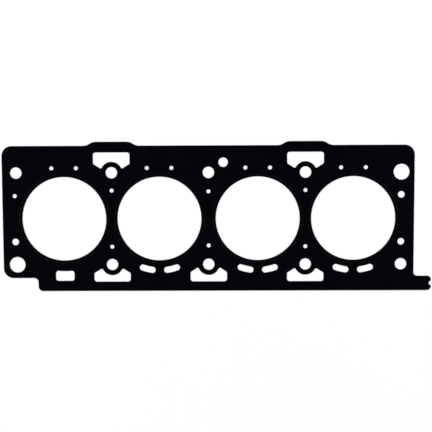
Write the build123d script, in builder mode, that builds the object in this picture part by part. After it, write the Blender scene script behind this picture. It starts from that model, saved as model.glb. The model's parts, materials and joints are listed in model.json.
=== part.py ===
from build123d import *

import os

# Cylinder head gasket for a four-cylinder engine with ten head bolts
#
# The gasket is one pressed sheet of spring steel with a rubber coat on both faces. A punched
# outside edge carries two bulges and a notched tab, and a bead is pressed round each cylinder
# opening, with its crest on the head's side and its groove on the block's side.
#
# The origin is the middle of the bolt pattern, on the underside. X runs along the row of
# cylinders, Y points across it to the side with the two bulges, and Z points to the head.
# Lengths are in millimetres and angles in degrees.

# Sheet
sheet_thickness = 0.5

# Cylinder openings and the webs between them
cylinder_opening = 84.3
middle_web = 14.5
outer_web = 11.5

# Bead round each cylinder, outwards from its opening
bead_width = 4.0
bead_height = 0.4

# Head bolts, in two rows of five, midway between the openings and just beyond the end ones.
# The bolt rows and the end bolts are placed from the edges of the openings that they pass.
# Two of the end bolts have dowel sleeves.
bolt_rows_beyond_openings = 4.2
end_bolts_beyond_openings = 5.9
bolt_hole = 11.5
dowel_hole = 15.8

# Outside edge, from the outermost bolts
edge_beyond_bolt_rows = 27.0
edge_beyond_left_bolts = 14.1
edge_beyond_right_bolts = 13.05
corner_radius = 10.0

# Bulges of the upper edge, round the two upper windows
bulge_height = 4.0
bulge_width = 43.4
bulge_side_run = 6.8
bulge_radius = 10.5

# Lower left corner, cut back behind a step
cutback_length = 34.9
cutback_depth = 13.35
step_inner_radius = 4.3
step_outer_radius = 4.8

# Thickness tab at the lower right, with one notch in its end
tab_length = 17.7
tab_height = 14.75
tab_corner_radius = 4.0
tab_root_radius = 3.8
notch_radius = 2.2

# Windows behind the bolts, with land left round the bolt holes and the cylinder openings
window_width = 36.7
upper_window_reach = 20.3
lower_window_reach = 17.45
window_corner_radius = 2.6
window_tip_radius = 1.6
bolt_land_width = 5.15
cylinder_land_width = 20.35

# Oil drain behind the first cylinder
drain_width = 18.7
drain_depth = 9.75
drain_land_width = 10.95
drain_corner_radius = 2.7

# Oil feed, from the middle upper bolt
oil_feed_hole = 9.5
oil_feed_shift = 14.8
oil_feed_rise = 10.15

# Coolant passages on a ring round each cylinder opening
coolant_ring_offset = 10.3
coolant_angle = 13.6
coolant_hole = 4.0
coolant_slot_width = 6.2
coolant_slot_angle = 11.0

# Coolant holes between the cylinders, from the cylinders' centre line
outer_web_hole_offset = 28.35
middle_web_hole_offset = 27.3

# Coolant holes beyond the end cylinders
end_hole = 6.7
left_end_hole_shift = 1.6
left_end_hole_offset = 23.15
right_end_hole_offset = 23.65

# Places worked out from the sizes above
cylinder_radius = cylinder_opening / 2
inner_cylinder_x = middle_web / 2 + cylinder_radius
outer_cylinder_x = inner_cylinder_x + cylinder_opening + outer_web
cylinder_xs = [-outer_cylinder_x, -inner_cylinder_x, inner_cylinder_x, outer_cylinder_x]
bead_crest_radius = cylinder_radius + bead_width / 2
bead_foot_radius = cylinder_radius + bead_width
coolant_ring_radius = cylinder_radius + coolant_ring_offset
drain_inner_radius = cylinder_radius + drain_land_width
drain_outer_radius = drain_inner_radius + drain_depth
cylinder_land_radius = cylinder_radius + cylinder_land_width
bolt_land_radius = bolt_hole / 2 + bolt_land_width

bolt_row = cylinder_radius + bolt_rows_beyond_openings
inner_bolt_x = (inner_cylinder_x + outer_cylinder_x) / 2
end_bolt_x = outer_cylinder_x + cylinder_radius + end_bolts_beyond_openings
left_end_hole_x = -end_bolt_x - left_end_hole_shift

upper_edge = bolt_row + edge_beyond_bolt_rows
lower_edge = -upper_edge
left_edge = -end_bolt_x - edge_beyond_left_bolts
right_edge = end_bolt_x + edge_beyond_right_bolts
step_x = left_edge + cutback_length
ledge = lower_edge + cutback_depth
tab_end = right_edge + tab_length
tab_top = lower_edge + tab_height


def bulge_corners(middle_x):
    """The four corners of one bulge of the upper edge, from right to left."""
    foot = (bulge_width + bulge_side_run) / 2
    shoulder = (bulge_width - bulge_side_run) / 2
    crown = upper_edge + bulge_height
    return [
        (middle_x + foot, upper_edge),
        (middle_x + shoulder, crown),
        (middle_x - shoulder, crown),
        (middle_x - foot, upper_edge),
    ]


# Outside shape, anticlockwise from the ledge at the lower left
with BuildSketch() as outside:
    with BuildLine():
        FilletPolyline(
            (left_edge, ledge),
            (step_x, ledge),
            (step_x, lower_edge),
            (tab_end, lower_edge),
            (tab_end, tab_top),
            (right_edge, tab_top),
            (right_edge, upper_edge),
            *bulge_corners(inner_bolt_x),
            *bulge_corners(-inner_bolt_x),
            (left_edge, upper_edge),
            radius=[
                corner_radius,
                step_inner_radius,
                step_outer_radius,
                tab_corner_radius,
                tab_corner_radius,
                tab_root_radius,
                corner_radius,
                *[bulge_radius] * 8,
                corner_radius,
            ],
            close=True,
        )
    make_face()
    with Locations((tab_end, (lower_edge + tab_top) / 2)):
        Circle(notch_radius, mode=Mode.SUBTRACT)


def window(bolt_x, left_cylinder_x, right_cylinder_x, reach):
    """One window behind an upper bolt, from below its centre out to its reach beyond it."""
    with BuildSketch() as shape:
        with Locations((bolt_x, bolt_row + reach)):
            Rectangle(window_width, reach + bolt_land_radius / 2, align=(Align.CENTER, Align.MAX))
        with Locations((bolt_x, bolt_row)):
            Circle(bolt_land_radius, mode=Mode.SUBTRACT)
        with Locations((left_cylinder_x, 0), (right_cylinder_x, 0)):
            Circle(cylinder_land_radius, mode=Mode.SUBTRACT)
        fillet(shape.vertices().sort_by(Axis.Y)[:2], window_tip_radius)
        fillet(shape.vertices().sort_by(Axis.Y)[-2:], window_corner_radius)
    return shape.sketch


with BuildSketch() as upper_windows:
    add(window(inner_bolt_x, inner_cylinder_x, outer_cylinder_x, upper_window_reach))
    mirror(about=Plane.YZ)

with BuildSketch() as lower_windows:
    add(window(inner_bolt_x, inner_cylinder_x, outer_cylinder_x, lower_window_reach))
    mirror(about=Plane.YZ)
    add(window(0, -inner_cylinder_x, inner_cylinder_x, lower_window_reach))
    mirror(about=Plane.XZ, mode=Mode.REPLACE)

with BuildSketch() as oil_passages:
    with Locations((-outer_cylinder_x, -drain_outer_radius)):
        Rectangle(drain_width, drain_outer_radius, align=(Align.CENTER, Align.MIN))
    with Locations((-outer_cylinder_x, 0)):
        Circle(drain_inner_radius, mode=Mode.SUBTRACT)
    fillet(oil_passages.vertices(), drain_corner_radius)
    with Locations((oil_feed_shift, bolt_row + oil_feed_rise)):
        Circle(oil_feed_hole / 2)

with BuildSketch() as bolt_holes:
    with GridLocations(inner_bolt_x, 2 * bolt_row, 3, 2):
        Circle(bolt_hole / 2)
    with Locations((-end_bolt_x, bolt_row), (end_bolt_x, -bolt_row)):
        Circle(bolt_hole / 2)
    with Locations((end_bolt_x, bolt_row), (-end_bolt_x, -bolt_row)):
        Circle(dowel_hole / 2)

with BuildSketch() as coolant_passages:
    for x in cylinder_xs:
        with Locations((x, 0)):
            for angle in (90 - coolant_angle, 90 + coolant_angle):
                with PolarLocations(coolant_ring_radius, 1, angle):
                    Circle(coolant_hole / 2)
    for x in cylinder_xs[1:]:
        for angle in (-90 - coolant_angle, -90 + coolant_angle):
            slot_line = CenterArc(
                (x, 0),
                coolant_ring_radius,
                angle - coolant_slot_angle / 2,
                coolant_slot_angle,
                mode=Mode.PRIVATE,
            )
            SlotArc(slot_line, coolant_slot_width)
    with GridLocations(2 * inner_bolt_x, 2 * outer_web_hole_offset, 2, 2):
        Circle(coolant_hole / 2)
    with Locations((0, middle_web_hole_offset), (0, -middle_web_hole_offset)):
        Circle(coolant_hole / 2)
    with Locations((left_end_hole_x, left_end_hole_offset)):
        Circle(coolant_hole / 2)
    with Locations(
        (left_end_hole_x, -left_end_hole_offset),
        (end_bolt_x, right_end_hole_offset),
        (end_bolt_x, -right_end_hole_offset),
    ):
        Circle(end_hole / 2)


# The flat sheet reaches the outer foot of each bead, and the pressed bead goes on to the opening
with BuildPart() as gasket_sheet:
    with BuildSketch():
        add(outside.sketch)
        for openings in (upper_windows, lower_windows, oil_passages, bolt_holes, coolant_passages):
            add(openings.sketch, mode=Mode.SUBTRACT)
        with Locations(*[(x, 0) for x in cylinder_xs]):
            Circle(bead_foot_radius, mode=Mode.SUBTRACT)
    extrude(amount=sheet_thickness)
    for x in cylinder_xs:
        with BuildSketch(Plane.XZ):
            with BuildLine():
                Polyline(
                    (x + cylinder_radius, 0),
                    (x + bead_crest_radius, bead_height),
                    (x + bead_foot_radius, 0),
                    (x + bead_foot_radius, sheet_thickness),
                    (x + bead_crest_radius, bead_height + sheet_thickness),
                    (x + cylinder_radius, sheet_thickness),
                    close=True,
                )
            make_face()
        revolve(axis=Axis((x, 0, 0), (0, 0, 1)))
gasket_sheet.part.label = "gasket_sheet"

os.makedirs("parts", exist_ok=True)
export_step(gasket_sheet.part, "parts/gasket_sheet.step")
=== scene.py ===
import json
from math import cos, pi, radians

import bmesh
import bpy
from mathutils import Matrix, Vector


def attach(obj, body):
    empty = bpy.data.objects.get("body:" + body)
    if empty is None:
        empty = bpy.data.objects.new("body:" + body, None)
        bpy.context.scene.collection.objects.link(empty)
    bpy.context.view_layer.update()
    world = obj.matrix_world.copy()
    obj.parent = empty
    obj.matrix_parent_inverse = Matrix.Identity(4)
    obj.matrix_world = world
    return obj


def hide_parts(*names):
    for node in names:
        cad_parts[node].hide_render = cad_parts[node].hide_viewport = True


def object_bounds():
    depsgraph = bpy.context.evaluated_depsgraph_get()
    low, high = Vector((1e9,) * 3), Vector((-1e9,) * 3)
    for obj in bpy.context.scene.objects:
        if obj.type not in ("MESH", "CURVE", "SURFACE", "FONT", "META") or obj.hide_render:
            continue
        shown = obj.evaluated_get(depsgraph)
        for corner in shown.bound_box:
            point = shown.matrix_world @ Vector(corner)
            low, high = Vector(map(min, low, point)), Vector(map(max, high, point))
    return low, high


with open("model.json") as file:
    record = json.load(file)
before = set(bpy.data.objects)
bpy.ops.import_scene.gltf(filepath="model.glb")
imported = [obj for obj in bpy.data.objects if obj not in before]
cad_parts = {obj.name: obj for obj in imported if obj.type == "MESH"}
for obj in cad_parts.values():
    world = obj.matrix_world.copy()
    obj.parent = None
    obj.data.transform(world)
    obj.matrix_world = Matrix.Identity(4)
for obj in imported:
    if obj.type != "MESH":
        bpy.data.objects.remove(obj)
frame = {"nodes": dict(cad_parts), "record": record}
cad_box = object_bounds()


# ---------------------------------------------------------------------------------------------
# Gasket sheet
# One sheet of spring steel, coated with black rubber on both faces and then punched to its
# outline and openings. A bead is pressed round each cylinder opening last of all, so it rises
# on the head's side and leaves a groove on the block's side.
# ---------------------------------------------------------------------------------------------

mm = 0.001
mounts = {mount["name"]: mount for mount in frame["record"]["mounts"]}
cylinders = [mounts[name] for name in sorted(mounts) if name.startswith("cylinder_")]
block_face = mounts["block_face"]["pos_m"][2]
head_face = mounts["head_face"]["pos_m"][2]

bead_width = 4.0 * mm
bead_flank = 1.85 * mm
bead_height = cad_box[1].z - head_face
bead_rings = 20
bead_arc_cuts = 2
window_side_rounding = 1.2 * mm
notch_rounding = 0.3 * mm
corner_segments = 6
rim_rounding = 0.04 * mm
rim_segments = 2

# how near two places lie to count as one, and how far two faces turn to count as flat or sharp
same_point = 0.002 * mm
near = 0.02 * mm
in_line = radians(0.2)
sharp_corner = radians(30)

# how upright a face's normal stands on a punched wall at most, and on the flat sheet at least
wall_at_most = 0.3
flat_at_least = 0.99999


def from_axis(vertex, centre):
    """How far a vertex lies from a cylinder's axis."""
    return (vertex.co.xy - centre.xy).length


def bead_lift(inwards):
    """How far the bead stands off the flat sheet, at a distance inwards from its outer foot."""
    from_crest = min(abs(inwards - bead_width / 2), bead_flank)
    return bead_height * (1 + cos(pi * from_crest / bead_flank)) / 2


sheet = bmesh.new()
sheet.from_mesh(frame["nodes"]["gasket_sheet"].data)
bmesh.ops.remove_doubles(sheet, verts=sheet.verts, dist=same_point)
bmesh.ops.dissolve_limit(sheet, angle_limit=in_line, verts=sheet.verts, edges=sheet.edges)

# the punch rounds the corners at the windows' sides, and breaks those of the tab's notch
upright = [e for e in sheet.edges if (e.verts[0].co.xy - e.verts[1].co.xy).length < near]
sharp = [e for e in upright if e.calc_face_angle() > sharp_corner]
window_sides = [e for e in sharp if not e.is_convex]
notch_corners = [e for e in sharp if e.is_convex]
for corners, rounding in ((window_sides, window_side_rounding), (notch_corners, notch_rounding)):
    bmesh.ops.bevel(
        sheet, geom=corners, affect="EDGES", offset=rounding, offset_type="OFFSET",
        segments=corner_segments, profile=0.5, material=-1,
    )

for cylinder in cylinders:
    centre = Vector(cylinder["pos_m"])
    foot = cylinder["dims"]["r_mm"] * mm + bead_width

    # the plain bead comes away, up to its outer foot, and the edge left there is made rounder
    plain = [f for f in sheet.faces if all(from_axis(v, centre) < foot + near for v in f.verts)]
    bmesh.ops.delete(sheet, geom=plain, context="FACES")
    rim = [e for e in sheet.edges if e.is_boundary and from_axis(e.verts[0], centre) < foot + near]
    bmesh.ops.bisect_edges(sheet, edges=rim, cuts=bead_arc_cuts)
    rim = [e for e in sheet.edges if e.is_boundary and from_axis(e.verts[0], centre) < foot + near]
    for vertex in {v for e in rim for v in e.verts}:
        vertex.co.xy = centre.xy + (vertex.co.xy - centre.xy).normalized() * foot

    # each face goes on inwards in rings, up over the crest and down to the opening
    about_axis = Matrix.Translation(-centre)
    opening_edges = []
    for face_height in (block_face, head_face):
        ring = [e for e in rim if all(abs(v.co.z - face_height) < near for v in e.verts)]
        radius = foot
        for step in range(1, bead_rings + 1):
            grown = bmesh.ops.extrude_edge_only(sheet, edges=ring)["geom"]
            verts = [part for part in grown if isinstance(part, bmesh.types.BMVert)]
            ring = [part for part in grown if isinstance(part, bmesh.types.BMEdge)]
            inwards = bead_width * step / bead_rings
            shrink = (foot - inwards) / radius
            radius = foot - inwards
            bmesh.ops.scale(sheet, vec=(shrink, shrink, 1), space=about_axis, verts=verts)
            lift = face_height + bead_lift(inwards) - verts[0].co.z
            bmesh.ops.translate(sheet, vec=(0, 0, lift), verts=verts)
        opening_edges += ring
    bmesh.ops.bridge_loops(sheet, edges=opening_edges)

bmesh.ops.recalc_face_normals(sheet, faces=sheet.faces)
sheet.normal_update()


def is_wall(face):
    """Whether a face is part of a punched wall, and not of the coated faces."""
    return abs(face.normal.z) < wall_at_most


# punching leaves a very small radius along every rim
rims = [e for e in sheet.edges if is_wall(e.link_faces[0]) != is_wall(e.link_faces[1])]
bmesh.ops.bevel(
    sheet, geom=rims, affect="EDGES", offset=rim_rounding, offset_type="OFFSET",
    segments=rim_segments, profile=0.5, material=-1,
)
sheet.normal_update()

coat_slot, edge_slot = 0, 1
for face in sheet.faces:
    face.smooth = abs(face.normal.z) < flat_at_least
    face.material_index = edge_slot if is_wall(face) else coat_slot

mesh = bpy.data.meshes.new("pressed_sheet")
sheet.to_mesh(mesh)
sheet.free()
pressed_sheet = bpy.data.objects.new("pressed_sheet", mesh)
bpy.context.scene.collection.objects.link(pressed_sheet)

# the grain that the rubber and the cut steel both have, each at its own size and depth
grain_detail, grain_roughness = 3, 0.6

grain_group = bpy.data.node_groups.new("surface_grain", "ShaderNodeTree")
grain_group.interface.new_socket("Grains per Metre", in_out="INPUT", socket_type="NodeSocketVector")
grain_group.interface.new_socket("Depth", in_out="INPUT", socket_type="NodeSocketFloat")
grain_group.interface.new_socket("Grain", in_out="OUTPUT", socket_type="NodeSocketFloat")
grain_group.interface.new_socket("Normal", in_out="OUTPUT", socket_type="NodeSocketVector")
nodes, link = grain_group.nodes, grain_group.links.new
asked = nodes.new("NodeGroupInput")
given = nodes.new("NodeGroupOutput")
position = nodes.new("ShaderNodeTexCoord")
size = nodes.new("ShaderNodeMapping")
link(position.outputs["Object"], size.inputs["Vector"])
link(asked.outputs["Grains per Metre"], size.inputs["Scale"])
noise = nodes.new("ShaderNodeTexNoise")
noise.inputs["Scale"].default_value = 1
noise.inputs["Detail"].default_value = grain_detail
noise.inputs["Roughness"].default_value = grain_roughness
link(size.outputs["Vector"], noise.inputs["Vector"])
link(noise.outputs["Fac"], given.inputs["Grain"])
bump = nodes.new("ShaderNodeBump")
bump.inputs["Strength"].default_value = 1
link(asked.outputs["Depth"], bump.inputs["Distance"])
link(noise.outputs["Fac"], bump.inputs["Height"])
link(bump.outputs["Normal"], given.inputs["Normal"])


def grain(material, grains_per_metre, depth=0.0):
    """The shared grain in a material, at its own size and depth."""
    node = material.node_tree.nodes.new("ShaderNodeGroup")
    node.node_tree = grain_group
    node.inputs["Grains per Metre"].default_value = grains_per_metre
    node.inputs["Depth"].default_value = depth
    return node


# rubber coat: blue-black and satin, laid on by rollers that ran along the sheet
coat_black = (0.0005, 0.0004, 0.0019, 1)
coat_paler_black = (0.0011, 0.0010, 0.0030, 1)
coat_smoothest, coat_roughest = 0.36, 0.45
coat_specular = 0.04
cloud_grains = (35, 35, 35)
roller_grains = (40, 900, 40)
roller_share = 0.45
grain_low, grain_high = 0.35, 0.65
rubber_grains = (2600, 2600, 2600)
rubber_grain_depth = 0.018 * mm

coat = bpy.data.materials.new("black_rubber_coat")
coat.use_nodes = True
nodes, link = coat.node_tree.nodes, coat.node_tree.links.new
shader = nodes["Principled BSDF"]
shader.inputs["Specular IOR Level"].default_value = coat_specular

clouds = grain(coat, cloud_grains)
roller_lines = grain(coat, roller_grains)
tone = nodes.new("ShaderNodeMix")
tone.data_type = "RGBA"
tone.inputs["A"].default_value = coat_black
tone.inputs["B"].default_value = coat_paler_black
link(clouds.outputs["Grain"], tone.inputs["Factor"])
link(tone.outputs["Result"], shader.inputs["Base Color"])

laid_on = nodes.new("ShaderNodeMix")
laid_on.inputs["Factor"].default_value = roller_share
link(clouds.outputs["Grain"], laid_on.inputs["A"])
link(roller_lines.outputs["Grain"], laid_on.inputs["B"])
gloss = nodes.new("ShaderNodeMapRange")
gloss.inputs["From Min"].default_value = grain_low
gloss.inputs["From Max"].default_value = grain_high
gloss.inputs["To Min"].default_value = coat_smoothest
gloss.inputs["To Max"].default_value = coat_roughest
link(laid_on.outputs["Result"], gloss.inputs["Value"])
link(gloss.outputs["Result"], shader.inputs["Roughness"])

rubber_grain = grain(coat, rubber_grains, rubber_grain_depth)
link(rubber_grain.outputs["Normal"], shader.inputs["Normal"])
mesh.materials.append(coat)

# punched edge: bare steel, bright where the punch sheared it and rougher where it broke off
shear_grey = (0.30, 0.30, 0.31, 1)
break_grey = (0.13, 0.13, 0.14, 1)
shear_roughness, break_roughness = 0.36, 0.62
shear_start = head_face * 0.8
shear_full = head_face * 0.95
shear_wander = 0.25 * mm
ragged_grains = (700, 700, 700)
score_grains = (6000, 6000, 700)
score_depth = 0.009 * mm

cut_steel = bpy.data.materials.new("cut_steel_edge")
cut_steel.use_nodes = True
nodes, link = cut_steel.node_tree.nodes, cut_steel.node_tree.links.new
shader = nodes["Principled BSDF"]
shader.inputs["Metallic"].default_value = 1

position = nodes.new("ShaderNodeTexCoord")
height = nodes.new("ShaderNodeSeparateXYZ")
link(position.outputs["Object"], height.inputs["Vector"])
ragged = grain(cut_steel, ragged_grains)
wander = nodes.new("ShaderNodeMath")
wander.operation = "MULTIPLY_ADD"
wander.inputs[1].default_value = shear_wander
link(ragged.outputs["Grain"], wander.inputs[0])
link(height.outputs["Z"], wander.inputs[2])
sheared = nodes.new("ShaderNodeMapRange")
sheared.inputs["From Min"].default_value = shear_start
sheared.inputs["From Max"].default_value = shear_full
link(wander.outputs["Value"], sheared.inputs["Value"])

tone = nodes.new("ShaderNodeMix")
tone.data_type = "RGBA"
tone.inputs["A"].default_value = break_grey
tone.inputs["B"].default_value = shear_grey
link(sheared.outputs["Result"], tone.inputs["Factor"])
link(tone.outputs["Result"], shader.inputs["Base Color"])
gloss = nodes.new("ShaderNodeMapRange")
gloss.inputs["To Min"].default_value = break_roughness
gloss.inputs["To Max"].default_value = shear_roughness
link(sheared.outputs["Result"], gloss.inputs["Value"])
link(gloss.outputs["Result"], shader.inputs["Roughness"])

score_lines = grain(cut_steel, score_grains, score_depth)
link(score_lines.outputs["Normal"], shader.inputs["Normal"])
mesh.materials.append(cut_steel)

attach(pressed_sheet, "root")
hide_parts("gasket_sheet")


# ---------------------------------------------------------------------------------------------
# Table
# A white table that the sheet lies flat on. It shows the sheet's soft shadow, and it is clear
# from below, so that the sheet's underside can be looked at too.
# ---------------------------------------------------------------------------------------------

table_half = 4.0
table_gap = 0.05 * mm
table_paint = (0.5, 0.5, 0.5, 1)

# the lamps light the table near the sheet, and beyond their reach it glows white of its own
glow_under_sheet, glow_beyond = 0.52, 1.0
lit_within, glow_from = 0.35, 0.9


def background_rays(tree):
    """1 for the rays that show the white background, straight on or in metal or glass."""
    rays = tree.nodes.new("ShaderNodeLightPath")
    shown = rays.outputs["Is Camera Ray"]
    for kind in ("Is Glossy Ray", "Is Transmission Ray"):
        either = tree.nodes.new("ShaderNodeMath")
        either.operation = "MAXIMUM"
        tree.links.new(shown, either.inputs[0])
        tree.links.new(rays.outputs[kind], either.inputs[1])
        shown = either.outputs["Value"]
    return shown


table = bmesh.new()
bmesh.ops.create_grid(table, x_segments=1, y_segments=1, size=table_half)
bmesh.ops.translate(table, vec=(0, 0, block_face - table_gap), verts=table.verts)
mesh = bpy.data.meshes.new("table")
table.to_mesh(mesh)
table.free()
table_top = bpy.data.objects.new("table", mesh)
bpy.context.scene.collection.objects.link(table_top)

white_table = bpy.data.materials.new("white_table")
white_table.use_nodes = True
nodes, link = white_table.node_tree.nodes, white_table.node_tree.links.new
nodes.remove(nodes["Principled BSDF"])
paint = nodes.new("ShaderNodeBsdfDiffuse")
paint.inputs["Color"].default_value = table_paint

position = nodes.new("ShaderNodeTexCoord")
outwards = nodes.new("ShaderNodeVectorMath")
outwards.operation = "LENGTH"
link(position.outputs["Object"], outwards.inputs[0])
glow = nodes.new("ShaderNodeMapRange")
glow.inputs["From Min"].default_value = lit_within
glow.inputs["From Max"].default_value = glow_from
glow.inputs["To Min"].default_value = glow_under_sheet
glow.inputs["To Max"].default_value = glow_beyond
link(outwards.outputs["Value"], glow.inputs["Value"])
strength = nodes.new("ShaderNodeMath")
strength.operation = "MULTIPLY"
link(background_rays(white_table.node_tree), strength.inputs[0])
link(glow.outputs["Result"], strength.inputs[1])
white = nodes.new("ShaderNodeEmission")
link(strength.outputs["Value"], white.inputs["Strength"])
painted_white = nodes.new("ShaderNodeAddShader")
link(paint.outputs["BSDF"], painted_white.inputs[0])
link(white.outputs["Emission"], painted_white.inputs[1])

clear = nodes.new("ShaderNodeBsdfTransparent")
side = nodes.new("ShaderNodeNewGeometry")
rays = nodes.new("ShaderNodeLightPath")
seen_through = nodes.new("ShaderNodeMath")
seen_through.operation = "MAXIMUM"
link(side.outputs["Backfacing"], seen_through.inputs[0])
link(rays.outputs["Is Shadow Ray"], seen_through.inputs[1])
finish = nodes.new("ShaderNodeMixShader")
link(seen_through.outputs["Value"], finish.inputs["Fac"])
link(painted_white.outputs["Shader"], finish.inputs[1])
link(clear.outputs["BSDF"], finish.inputs[2])
link(finish.outputs["Shader"], nodes["Material Output"].inputs["Surface"])
mesh.materials.append(white_table)


# ---------------------------------------------------------------------------------------------
# Room and lamps
# A white room that gives little light of its own. Gloss mirrors its walls white and its ceiling
# dark, which keeps the coat black from above. A wide soft lamp stands on each of the four sides,
# and one below for the underside.
# ---------------------------------------------------------------------------------------------

room_light = 0.06
lamp_length, lamp_width = 2.0, 0.8

# how far up the walls' white has faded to the ceiling's level, where 1 is straight up
ceiling_level, ceiling_from = 0.04, 0.5

room = bpy.data.worlds.new("room")
bpy.context.scene.world = room
room.use_nodes = True
nodes, link = room.node_tree.nodes, room.node_tree.links.new
way = nodes.new("ShaderNodeTexCoord")
rise = nodes.new("ShaderNodeSeparateXYZ")
link(way.outputs["Generated"], rise.inputs["Vector"])
mirrored = nodes.new("ShaderNodeMapRange")
mirrored.inputs["From Max"].default_value = ceiling_from
mirrored.inputs["To Min"].default_value = 1
mirrored.inputs["To Max"].default_value = ceiling_level
link(rise.outputs["Z"], mirrored.inputs["Value"])
rays = nodes.new("ShaderNodeLightPath")
background = nodes.new("ShaderNodeMath")
background.operation = "MAXIMUM"
link(rays.outputs["Is Camera Ray"], background.inputs[0])
link(mirrored.outputs["Result"], background.inputs[1])
level = nodes.new("ShaderNodeMix")
level.inputs["A"].default_value = room_light
link(background.outputs["Value"], level.inputs["B"])
link(background_rays(room.node_tree), level.inputs["Factor"])
white_room = nodes["Background"]
white_room.inputs["Color"].default_value = (1, 1, 1, 1)
link(level.outputs["Result"], white_room.inputs["Strength"])

for name, place, watts in (
    ("lamp_left", (-1.45, 0.3, 1.0), 18),
    ("lamp_right", (1.45, 0.2, 1.0), 16),
    ("lamp_front", (-0.2, -1.45, 1.0), 14),
    ("lamp_back", (0.2, 1.45, 1.0), 14),
    ("lamp_below", (0.5, 1.2, -0.8), 45),
):
    lamp = bpy.data.lights.new(name, "AREA")
    lamp.shape = "RECTANGLE"
    lamp.size = lamp_length
    lamp.size_y = lamp_width
    lamp.energy = watts
    stand = bpy.data.objects.new(name, lamp)
    stand.location = place
    stand.rotation_euler = (-Vector(place)).to_track_quat("-Z", "Y").to_euler()
    bpy.context.scene.collection.objects.link(stand)


# ---------------------------------------------------------------------------------------------
# Camera
# A long lens about a metre over the table, that looks almost straight down, a little askew.
# ---------------------------------------------------------------------------------------------

# in millimetres, as lenses are sold
focal_length, sensor_width = 85, 36

nearest_seen = 10 * mm
camera_place = (0.0172, 0.09003, 1.02214)
camera_turn = (radians(-4.9004), radians(0.5251), radians(-0.2311))

lens = bpy.data.cameras.new("camera")
lens.lens = focal_length
lens.sensor_width = sensor_width
lens.clip_start = nearest_seen
camera = bpy.data.objects.new("camera", lens)
camera.location = camera_place
camera.rotation_euler = camera_turn
bpy.context.scene.collection.objects.link(camera)
bpy.context.scene.camera = camera
bpy.context.scene.view_settings.view_transform = "Standard"
